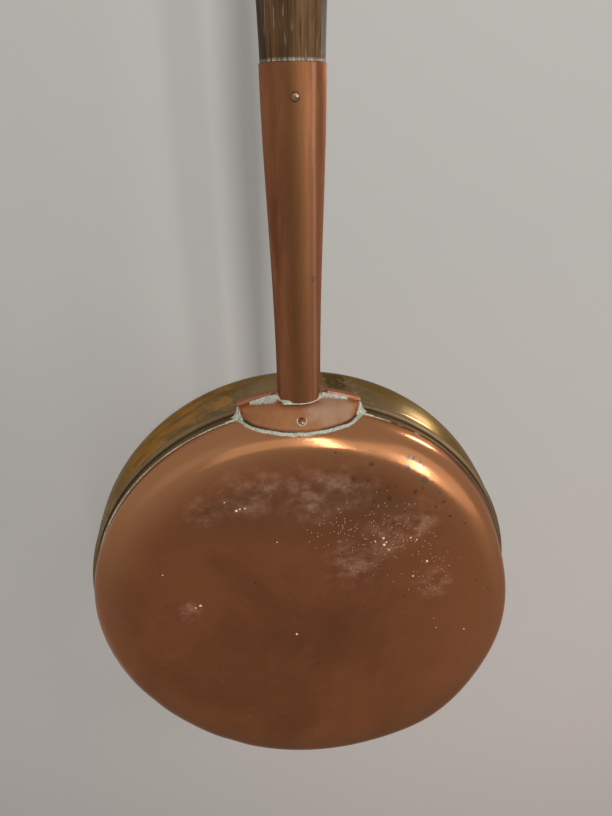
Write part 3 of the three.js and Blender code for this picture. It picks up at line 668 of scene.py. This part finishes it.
# The rivet through the front lobe, square to its slope, and two small ones hammered flush in the wings.
rivet_slope = atan(lean(lambda height: front_at(0, height), RIVET_HEIGHT))
rivet_seat = (0, RIVET_HEIGHT, front_at(0, RIVET_HEIGHT) + GAP * 0.3)
rivet_finish = metal("rivet_copper", Bright=(0.52, 0.26, 0.15), Dull=(0.3, 0.13, 0.07),
                     Stain=(0.2, 0.1, 0.06), Polished=0.16, Hazed=0.3, Cloud_scale=90)[0]
piece("bracket_rivet_head", shifted(dome_rivet(1, 1.7, -11.5), rivet_seat, rivet_slope), rivet_finish,
      "copper", "bracket_rivet")
for i, (x, height) in enumerate(WING_RIVETS):
    small = spun([(0, -0.6), (1, -0.6), (1, 0.1), (0.7, 0.35), (0, 0.45)], 20, "Z")
    piece(f"wing_rivet_{i + 1}", shifted(small, (x, height, ridge(x))), rivet_finish, "copper")
refinished("bracket_rivet_burr", rivet_finish)

# -------------------- dried polish
# Old metal polish has dried to a pale green chalk along the seam, round the bracket's lower edge, in the
# valley behind its front lobe and under the rivet's head. A painted shadow, a dark line, lies where the
# sheet meets the bowl, under the rolled edge behind the front lobe and under the band's edge along the seam.
PLAIN_SHADE, SEAM_START, SEAM_DEEP = 0.5, 16.2, 0.1

chalk, shader = material("dried_polish", Roughness=0.9)
where = centred(chalk)
across = put(chalk.node_tree, "Attribute", attribute_name="across").outputs["Fac"]
crumbs = clouded(where, 700, 5, 0.7)
uneven = plus(across, times(less(clouded(where, 110, 3), 0.5), 0.5))
tone = mixed(ramped(crumbs, 0.35, 0.7), (0.25, 0.25, 0.2), (0.47, 0.475, 0.4))
# Painted shadow: where the shade is low, the chalk turns almost black.
tone = mixed(ramped(uneven, 0.24, 0.36, 1, 0), tone, (0.05, 0.032, 0.022))
feed(shader, Base_Color=mixed(ramped(uneven, 0.8, 1.05, 0, 0.75), tone, (0.3, 0.19, 0.13)))
embossed(shader, crumbs, 0.0006, 0.7)


def rough(point, scale, seed=0):
    """A steady noise between about -1 and 1 at a place, for broken edges."""
    return noise.noise(Vector(point) * scale + Vector((seed, seed, seed)))


def plain_chalk(bm):
    """Gives every point of a shell the plain shade of the chalk."""
    across = bm.verts.layers.float.new("across")
    for vert in bm.verts:
        vert[across] = PLAIN_SHADE
    return bm


def chalk_strip(name, columns, rows, surface, shade, thickness=None, moved=None):
    """A crusty strip on surface(u, v). The shade of each point goes from a painted shadow at 0, through
    chalk, to thin chalk at 1.
    """
    strip = thickened(laid_grid(columns, rows, surface, shade), thickness, moved)
    piece(name, strip, chalk, "", sharp=60)


# A crescent caught under the rivet's head, round its lower side.
crescent = bmesh.new()
corners = [crescent.verts.new((radius, 0, height)) for radius, height in arc(2.8, 0, 0.42, 0.38, 0, 324, 9)]
loop = [crescent.edges.new(pair) for pair in zip(corners, corners[1:] + corners[:1])]
bmesh.ops.spin(crescent, geom=corners + loop, cent=(0, 0, 0), axis=(0, 0, 1), angle=radians(250),
               steps=36, use_merge=False)
bmesh.ops.holes_fill(crescent, edges=[e for e in crescent.edges if e.is_boundary], sides=12)
bmesh.ops.rotate(crescent, cent=(0, 0, 0), matrix=turned(140), verts=crescent.verts)
bmesh.ops.recalc_face_normals(crescent, faces=crescent.faces)
piece("chalk_rivet", plain_chalk(shifted(crescent, rivet_seat, rivet_slope)), chalk, "", sharp=60)


def under_lobe(u, v):
    """Round the lower edge of the front lobe: a dark gap first, then the chalk."""
    x = along_bracket(u)
    height = front_foot(x)
    out = Vector(((front_foot(x + 0.05) - front_foot(x - 0.05)) / 0.1, -1)).normalized()
    width = 2.4 + 0.5 * rough((x, height, 0), 0.3) + 0.3 * rough((x, height, 7), 1.3)
    reach = -0.6 + (width + 1.4 * eased(8, 36, abs(x))) * v
    x, height = x + out.x * reach, min(height + out.y * reach, 2.2)
    crust = 0.12 + 0.55 * eased(0.3, 0.5, v) * (1 - v) ** 0.4 * (0.8 + 0.6 * rough((x, height, 3), 1.1))
    return Vector((x, height, pan_surface(x, height) + max(0.05, crust)))


def web(side):
    """The chalk that fills the corner at a tip: a peak against the tip's end that thins along the seam."""
    def surface(u, v):
        x, height = side * (33 + 14 * u), -6.5 + 11.5 * v
        edge = front_foot(x) if abs(x) < BRACKET_HALF - 0.5 else TIP_HEIGHT - 1.3
        past = max(0, abs(x) - BRACKET_HALF) / 1.5
        off = max(0, edge - height) / 1.7 + max(0, height - TIP_HEIGHT - 0.6) / 0.8
        peak = 6.2 * eased(34.5, 38.5, abs(x)) * exp(-past - off)
        peak *= 1 + 0.3 * rough((x, height, side), 0.8)
        return Vector((x, height, pan_surface(x, height) + peak - 0.45 + 0.2 * rough((x, height, 5), 1.5)))
    return surface


def valley(side, end, wide, seed):
    """Along the top of the front lobe, against the rolled edge behind it."""
    def surface(u, v):
        x = side * (14.2 + (end - 14.2) * u)
        width = wide * (1 - 0.7 * u ** 2) * (1 + 0.35 * rough((x, 0, seed), 0.5))
        height = TIP_HEIGHT - 0.1 - width * (1 - v)
        crust = 0.12 + (2.3 * v ** 1.6 + 0.3 * rough((x, height, seed), 0.9)) * (1 - 0.45 * u)
        return Vector((x, height, front_at(x, min(height, TIP_HEIGHT)) + max(0.04, crust)))
    return surface


def under_shade(v, point):
    """A painted shadow against the lobe's edge, then chalk, then thin."""
    return 0.72 * v if v < 0.75 else 0.54 + (v - 0.75) * 1.9


def valley_shade(v, point):
    """A painted shadow of the rolled edge lies at the back, and the chalk thins out down the lobe."""
    return 1.02 - 0.45 * v if v < 0.8 else 0.66 - (v - 0.8) * 2.6


def along_seam(u, v):
    """Round the seam, where the band's lower edge meets the copper wall."""
    turn = radians(90 - SEAM_START - (360 - 2 * SEAM_START) * u)
    crust = 0.5 + 0.3 * rough((cos(turn) * 144, 0, sin(turn) * 144), 0.06)
    thick = crust * (0.35 + 0.5 * sin(pi * v))
    radius, height = BOWL_RADIUS + max(0.12, thick), -0.05 - (0.3 + 1.1 * crust) * v
    return Vector((radius * cos(turn), height, radius * sin(turn)))


def seam_shade(v, point):
    """A painted shadow under the band's edge shows in patches, and more on the right."""
    level = (point.x, 0, point.z)
    patch = 0.15 + 0.6 * rough(level, 0.035, 4) + 0.25 * rough(level, 0.3)
    return 0.5 - max(0, eased(40, 110, point.x) * 0.35 + patch * 0.3)


def into_wall(point):
    """The place just inside the copper wall behind a point of the seam."""
    share = (BOWL_RADIUS - SEAM_DEEP) / hypot(point.x, point.z)
    return Vector((point.x * share, point.y, point.z * share))


chalk_strip("chalk_under_bracket", 260, 14, under_lobe, under_shade, 0.6)
for i, side in enumerate((-1, 1)):
    chalk_strip(f"chalk_tip_{i + 1}", 60, 44, web(side), lambda v, point: 0.55, 0.8)
chalk_strip("chalk_valley_left", 90, 16, valley(-1, 31, 8.5, 2), valley_shade, 0.7)
chalk_strip("chalk_valley_right", 90, 16, valley(1, 30.5, 4.6, 9), valley_shade, 0.7)
chalk_strip("chalk_seam", 540, 4, along_seam, seam_shade, moved=into_wall)

# -------------------- socket
# A long tapering tube of rolled copper, brazed at its foot to the bracket. It flares to a plain cut mouth
# that takes the wood, and a domed pin holds the two together.
HANDLE = (0, 0, -944.8)
SOCKET_FOOT, SOCKET_LENGTH, SOCKET_SHEET = BRACKET_TOP + GAP, 182.7, 1.2
FOOT_RADIUS, MOUTH_RADIUS, SOCKET_STEPS = 13.4, 17.3, 48
SOCKET_MOUTH = SOCKET_FOOT + SOCKET_LENGTH
# Lumps of dried polish on the braze: (degrees round from +X, spread in degrees, size).
FOOT_LUMPS = [(186, 16, 2.2), (232, 13, 1.9), (345, 14, 1.5), (20, 16, 0.8)]
FILLET = [(0.05, 0), (1.5, 0), (1.1, 0.35), (0.5, 0.75), (0.05, 1.6), (0.05, 0)]
PIN_INSET, PIN_HEAD, PIN_RISE, PIN_SHANK = 15.3, 2.4, 1.95, 1.4


def socket_radius(share):
    """Outside radius: nearly straight at the foot, then an easy flare."""
    return FOOT_RADIUS + (MOUTH_RADIUS - FOOT_RADIUS) * eased(0, 1, share) ** 1.35


socket_path = [(socket_radius(i / SOCKET_STEPS), SOCKET_FOOT + SOCKET_LENGTH * i / SOCKET_STEPS)
               for i in range(SOCKET_STEPS + 1)]
socket_finish, shader, where, worn = metal(
    "socket_copper", bump=0.0004, centre=HANDLE, scale=(1, 1, 0.12), edge=(0.95, 0.78, 0.68),
    Bright=(0.48, 0.195, 0.09), Dull=(0.3, 0.112, 0.05), Stain=(0.25, 0.1, 0.04),
    Polished=0.46, Hazed=0.6, Cloud_scale=62, Scratches=0.1)
whole = centred(socket_finish, HANDLE)
parts, drawn = axes(whole), axes(where)
front_only = maths("LESS_THAN", parts["Y"], 0)
drop = times(dabs(whole, [(8.9, 227.5, 1.5), (8.6, 226.3, 1.2)], 0.0004, 0.6, 1.1, 0.8), front_only)
tone = mixed(drop, worn["Color"], (0.1, 0.085, 0.05))
# A painted dark reflection down the middle of the front, and a painted highlight, a pale stripe, beside it
# on the right.
level = put(shader.id_data, "CombineXYZ", drawn["X"], drawn["Z"]).outputs[0]
across = plus(parts["X"], times(less(clouded(level, 30, 3), 0.5), 0.006))
brown = times(ramped(apart(across, 0.0005), 0.003, 0.0095, 0.62, 0), front_only)
pale = times(ramped(apart(across, 0.0096), 0.0003, 0.0016, 0.4, 0), front_only)
feed(shader, Base_Color=mixed(pale, mixed(brown, tone, (0.2, 0.098, 0.038)), (0.62, 0.38, 0.26)))
piece("copper_socket", spun(sheet_profile(socket_path, SOCKET_SHEET), axis="Z"), socket_finish,
      "copper", "handle_socket", place=HANDLE)

# The fillet of braze round the foot, crusted with the same dried polish.
fillet = spun([(FOOT_RADIUS + out, height) for out, height in FILLET], 160, "Z")
for vert in fillet.verts:
    turn = degrees(atan2(vert.co.y, vert.co.x)) % 360
    lump = 0.24 + 0.16 * rough(vert.co, 0.5)
    for at, spread, size in FOOT_LUMPS:
        lump += size * exp(-((turn - at) / spread) ** 2) * (0.8 + 0.6 * rough(vert.co, 0.45, 5))
    radius = hypot(vert.co.x, vert.co.y)
    grown = FOOT_RADIUS + (radius - FOOT_RADIUS) * max(0.16, lump)
    vert.co.x, vert.co.y = vert.co.x * grown / radius, vert.co.y * grown / radius
    vert.co.z *= max(0.3, lump)
piece("socket_foot_braze", plain_chalk(fillet), chalk, "brass", "socket_braze",
      place=(0, 0, HANDLE[2] + SOCKET_FOOT - GAP))


pin_reach = socket_radius(1 - PIN_INSET / SOCKET_LENGTH) - 0.15
pin_finish = metal("pin_brass", centre=HANDLE, Bright=(0.5, 0.33, 0.2), Dull=(0.24, 0.15, 0.08),
                   Stain=(0.1, 0.06, 0.03), Polished=0.14, Hazed=0.32, Cloud_scale=120)[0]
half_pin = [(PIN_SHANK, pin_reach)] + arc(0, pin_reach, PIN_HEAD, PIN_RISE, 0, 90, 8)
piece("socket_pin_brass", two_ended(half_pin, "Y"), pin_finish, "brass", "socket_pin",
      place=(0, 0, HANDLE[2] + SOCKET_MOUTH - PIN_INSET))

# -------------------- wooden handle
# Turned from one length of dark hardwood: a swell above the socket, a long taper, a collar, a grip and
# a knob. Long open grain, grey wear and pale streaks of old polish run down it.
HANDLE_LENGTH, HANDLE_END_RADIUS, TENON_START, EYE_HOLE, EYE_HOLE_DEPTH = 570, 9, 36, 2.2, 26.3
# Radii along the handle: (share of its length from the socket's mouth, radius in millimetres).
TURNINGS = [(0, 16.7), (0.048, 17.4), (0.1, 18.1), (0.17, 18.1), (0.27, 16.3), (0.4, 14.57), (0.54, 13.3),
            (0.66, 12.8), (0.71, 12.8), (0.72, 15.4), (0.735, 15.4), (0.745, 12.8), (0.765, 14.35),
            (0.82, 15.9), (0.88, 15.1), (0.93, 12.8), (0.94, 12.3), (0.952, 14.7), (0.968, 16.6),
            (0.984, 15.6), (0.996, 12.8), (1, HANDLE_END_RADIUS)]
handle_start = SOCKET_MOUTH + GAP
handle_end = handle_start + HANDLE_LENGTH


def between_turnings(a, b, c, d, share):
    """A smooth curve through four turning radii, between the middle two."""
    return b + 0.5 * share * (c - a + share * (2 * a - 5 * b + 4 * c - d + share * (3 * (b - c) + d - a)))


tenon_start = SOCKET_FOOT + TENON_START
handle_profile = [(0, tenon_start)]
handle_profile += [(radius - SOCKET_SHEET - GAP, max(tenon_start, height))
                   for radius, height in socket_path[10:SOCKET_STEPS]]
handle_profile.append((MOUTH_RADIUS - SOCKET_SHEET - GAP, handle_start))
for i in range(len(TURNINGS) - 1):
    a, b, c, d = (TURNINGS[min(max(j, 0), len(TURNINGS) - 1)] for j in (i - 1, i, i + 1, i + 2))
    steps = max(3, round((c[0] - b[0]) * HANDLE_LENGTH / 4))
    for step in range(steps):
        share = step / steps
        handle_profile.append((between_turnings(a[1], b[1], c[1], d[1], share),
                               handle_start + HANDLE_LENGTH * (b[0] + (c[0] - b[0]) * share)))
handle_profile += [(HANDLE_END_RADIUS, handle_end), (0, handle_end)]

wood, shader = material("old_wood", Specular_IOR_Level=0.2)
where = centred(wood, HANDLE)
streak = clouded(where, 760, 7, 0.7, stretch=(1, 1, 0.028))
coarse = clouded(where, 75, 4, stretch=(1, 1, 0.028))
wear_and_sheen = clouded(where, 45, 5, stretch=(1, 1, 0.3))
polish = clouded(where, 900, 3, stretch=(1, 1, 0.06), shift=(4, 2, 0))
tone = mixed(ramped(coarse, 0.35, 0.65), (0.03, 0.014, 0.004), (0.1, 0.047, 0.014))
tone = mixed(ramped(streak, 0.55, 0.36, 0, 0.85), tone, (0.02, 0.011, 0.005))
tone = mixed(ramped(streak, 0.56, 0.68, 0, 0.35), tone, (0.22, 0.15, 0.085))
tone = mixed(ramped(wear_and_sheen, 0.5, 0.7, 0, 0.2), tone, (0.14, 0.095, 0.055))
tone = mixed(times(ramped(polish, 0.62, 0.72), ramped(wear_and_sheen, 0.42, 0.6), 0.35), tone, (0.42, 0.38, 0.31))
# Old polish has stayed in the grain just above the socket's mouth.
foot = ramped(axes(where)["Z"], (handle_start + 0.3) / 1000, (handle_start + 2) / 1000, 1, 0)
tone = mixed(times(foot, ramped(streak, 0.42, 0.62, 0.15, 0.85)), tone, (0.4, 0.37, 0.33))
feed(shader, Base_Color=tone, Roughness=ramped(streak, 0.3, 0.7, 0.62, 0.42))
embossed(shader, streak, 0.0005)
eye_hole = rod(EYE_HOLE, handle_end - EYE_HOLE_DEPTH, handle_end + 5, 24, "Z")
piece("turned_handle", combined(spun(handle_profile, 72, "Z"), eye_hole, "DIFFERENCE"), wood,
      "wood", "wooden_handle", place=HANDLE)

# -------------------- eye and hanging ring
# A brass screw eye with a round washer in the end of the knob, and a free ring that hooks over a nail.
WASHER_RADIUS, WASHER_SHEET, WASHER_EASE = 8, 1.5, (0.6, 0.5)
EYE_RADIUS, EYE_WIRE, EYE_SHANK, EYE_POINT = 6, 1.9, 26, 5
RING_RADIUS, RING_WIRE = 15, 1.8
eye_height = handle_end + WASHER_SHEET + 2 * GAP + EYE_RADIUS + EYE_WIRE
shank_start, shank_end = handle_end - EYE_SHANK, eye_height - EYE_RADIUS
bore = EYE_WIRE + GAP
fitting_finish = metal("fitting_brass", centre=(0, 0, -30), **BRASS, Cloud_scale=70)[0]
washer = spun([(bore, 0), (WASHER_RADIUS, 0), (WASHER_RADIUS, WASHER_SHEET - WASHER_EASE[1]),
               (WASHER_RADIUS - WASHER_EASE[0], WASHER_SHEET), (bore, WASHER_SHEET), (bore, 0)], 48, "Z")
piece("eye_washer_brass", washer, fitting_finish, "brass", "eye_washer",
      place=(0, 0, HANDLE[2] + handle_end + GAP))
shank = spun([(0, shank_start), (0.5, shank_start), (EYE_WIRE, shank_start + EYE_POINT),
              (EYE_WIRE, shank_end), (0, shank_end)], 24, "Z")
eye = shifted(spun(arc(EYE_RADIUS, 0, EYE_WIRE, EYE_WIRE, 0, 360, 20), 72, "X"), (0, 0, eye_height))
piece("screw_eye", combined(eye, shank), fitting_finish, "brass", "hanging_eye", place=HANDLE)
ring_low, ring_high = (corner * 1000 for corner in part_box("hanging_ring"))
piece("free_ring", spun(arc(RING_RADIUS, 0, RING_WIRE, RING_WIRE, 0, 360, 20), 72), fitting_finish,
      "brass", "hanging_ring", body="ring", place=(ring_low + ring_high) / 2)

# -------------------- lid
# A deep brass lid, spun and beaten from sheet: a flared side, a round shoulder, and a flat top with a raised
# ring, a low boss and three rings of draught holes.
LID_SHEET, LID_EDGE_RADIUS, LID_EDGE_HEIGHT = 1.3, 146.9, 9.1
LID_RADIUS, BELLY_HEIGHT, WAIST_RADIUS, WAIST_HEIGHT = 150, 38.4, 149.4, 24
LID_SHOULDER_REACH, LID_SHOULDER_RISE, LID_TOP, LID_TOP_FALL = 38, 45, 84.5, 1.1
LID_SHOULDER = LID_RADIUS - LID_SHOULDER_REACH
BOSS = [(0, 87.7), (6, 87.65), (12, 87.4), (17.5, 86.9), (21, 86.1), (23.5, 85.2), (25, LID_TOP),
        (28, 84.45)]
RAISED_RING = [(97, 83.75), (98.6, 84.9), (99.6, 85.75), (101, 86), (106, 85.75), (107.6, 85.35),
               (109.2, 84.3), (110.6, 83.55)]
LID_FOOT = [(149.75, 31), (WAIST_RADIUS, WAIST_HEIGHT), (148.6, 18), (148.2, 13.5), (147.95, 11.2),
            (147.5, 9.9), (146.9, LID_EDGE_HEIGHT)]
# Rings of draught holes: (radius, number of holes).
DRAUGHT_RINGS, DRAUGHT_HOLE = [(42, 8), (62, 12), (82, 16)], 3


def lid_side(height):
    """Outside radius of the lid's side at a height."""
    if height > BELLY_HEIGHT:
        up = (height - BELLY_HEIGHT) / LID_SHOULDER_RISE
        return LID_SHOULDER + LID_SHOULDER_REACH * sqrt(max(0, 1 - up * up))
    if height > WAIST_HEIGHT:
        share = (height - WAIST_HEIGHT) / (BELLY_HEIGHT - WAIST_HEIGHT)
        return WAIST_RADIUS + (LID_RADIUS - WAIST_RADIUS) * share
    share = (height - LID_EDGE_HEIGHT) / (WAIST_HEIGHT - LID_EDGE_HEIGHT)
    return LID_EDGE_RADIUS + (WAIST_RADIUS - LID_EDGE_RADIUS) * share


lid_path = BOSS + [(r, LID_TOP - LID_TOP_FALL * (r - 25) / 70) for r in (40, 55, 70, 85, 95)] + RAISED_RING
lid_path += arc(LID_SHOULDER, BELLY_HEIGHT, LID_SHOULDER_REACH, LID_SHOULDER_RISE, 90, 0, 24) + LID_FOOT
# The path runs from the middle of the top to the edge, so its inside lies to the right.
lid_shell = spun(sheet_profile(lid_path, -LID_SHEET), steps=180)
drills = bmesh.new()
for radius, count in DRAUGHT_RINGS:
    for i in range(count):
        turn = 2 * pi * (i + 0.5) / count
        place = (radius * sin(turn), 84, radius * cos(turn))
        bmesh.ops.create_cone(drills, cap_ends=True, segments=20, radius1=DRAUGHT_HOLE, radius2=DRAUGHT_HOLE,
                              depth=30, matrix=Matrix.Translation(place) @ turned(90, "X"))

lid_finish, shader, where, worn = metal("lid_brass", **BRASS, Cloud_scale=12, Scratch_scale=420,
                                        Scratches=0.12)
# Along the top of the side: an orange streak on the left, small dark spots near the handle and spots of
# dried polish on the right.
orange = dabs(where, [(-92, 118, 22), (-74, 129, 17), (-108, 103, 17), (-50, 140, 12)], 0.03, 0.3, 1.2, 1)
orange = times(orange, ramped(clouded(where, 60, 6, stretch=(1, 2.5, 1)), 0.36, 0.56), 0.85)
soot = dabs(where, [(22, 149, 4), (27, 148, 4), (31, 147, 3)], 0.006, 0.4, 1, 0.8)
lime = times(ramped(clouded(where, 190, 6, 0.75), 0.54, 0.7),
             dabs(where, [(20, 148, 22), (45, 141, 16), (72, 130, 12)], 0.02, 0.3, 1.2, 0.75))
tone = mixed(orange, worn["Color"], (0.6, 0.32, 0.12))
tone = mixed(soot, tone, (0.12, 0.1, 0.06))
feed(shader, Base_Color=mixed(lime, tone, (0.66, 0.62, 0.5)))
piece("brass_lid", combined(lid_shell, drills, "DIFFERENCE"), lid_finish, "lid_brass", "lid", body="lid")

# -------------------- lid strap and hinge pin
# A brass strap with the middle knuckle, riveted to the lid's side, turns on an iron pin.
STRAP_SHEET, STRAP_WIDTH, STRAP_END, STRAP_RIVETS = 1.6, 14, 60, (31, 50)
NECK_END, NECK_FLARE = HINGE_HEIGHT + KNUCKLE_RADIUS + GAP, 1.6


def strap(u, v):
    """The strap follows the lid's side, narrows to a neck at the hinge and has a round end."""
    height = HINGE_HEIGHT + (STRAP_END - HINGE_HEIGHT) * v
    half = LID_KNUCKLE / 2 + (STRAP_WIDTH - LID_KNUCKLE) / 2 * eased(NECK_END, NECK_END + NECK_FLARE, height)
    into_end = STRAP_WIDTH / 2 - (STRAP_END - height)
    if into_end > 0:
        half = max(1, sqrt(max(0, half ** 2 - into_end ** 2)))
    top = lid_side(height) + GAP + STRAP_SHEET * hypot(1, lean(lid_side, height))
    return Vector((half * (2 * u - 1), height, top))


strap_finish = metal("strap_brass", **BRASS, Cloud_scale=50)[0]
piece("hinge_strap", bored(combined(laid_sheet(8, 56, strap, STRAP_SHEET, 0.25), knuckle(LID_KNUCKLE))),
      strap_finish, "brass", "lid_strap", body="lid")
for i, height in enumerate(STRAP_RIVETS):
    slope, grip = atan(lean(lid_side, height)), GAP + STRAP_SHEET + 0.05
    top = (0, height - sin(slope) * grip, lid_side(height) + cos(slope) * grip)
    piece(f"strap_rivet_head_{i + 1}", shifted(dome_rivet(1.1, 1.3, -5), top, slope), rivet_finish,
          "copper", f"strap_rivet_{i + 1}", body="lid")
    refinished(f"strap_rivet_burr_{i + 1}", rivet_finish)

end, head = HALF_HINGE + GAP, KNUCKLE_RADIUS - 2 * GAP
half_pin = [(PIN_RADIUS, end), (head, end), (head, end + 0.6), (head * 0.7, end + 1), (0, end + 1.2)]
piece("hinge_iron_pin", two_ended(half_pin, "X"), iron_finish, "iron", "hinge_pin",
      place=(0, PAN[1] + HINGE_HEIGHT, PAN[2] + HINGE_UP))
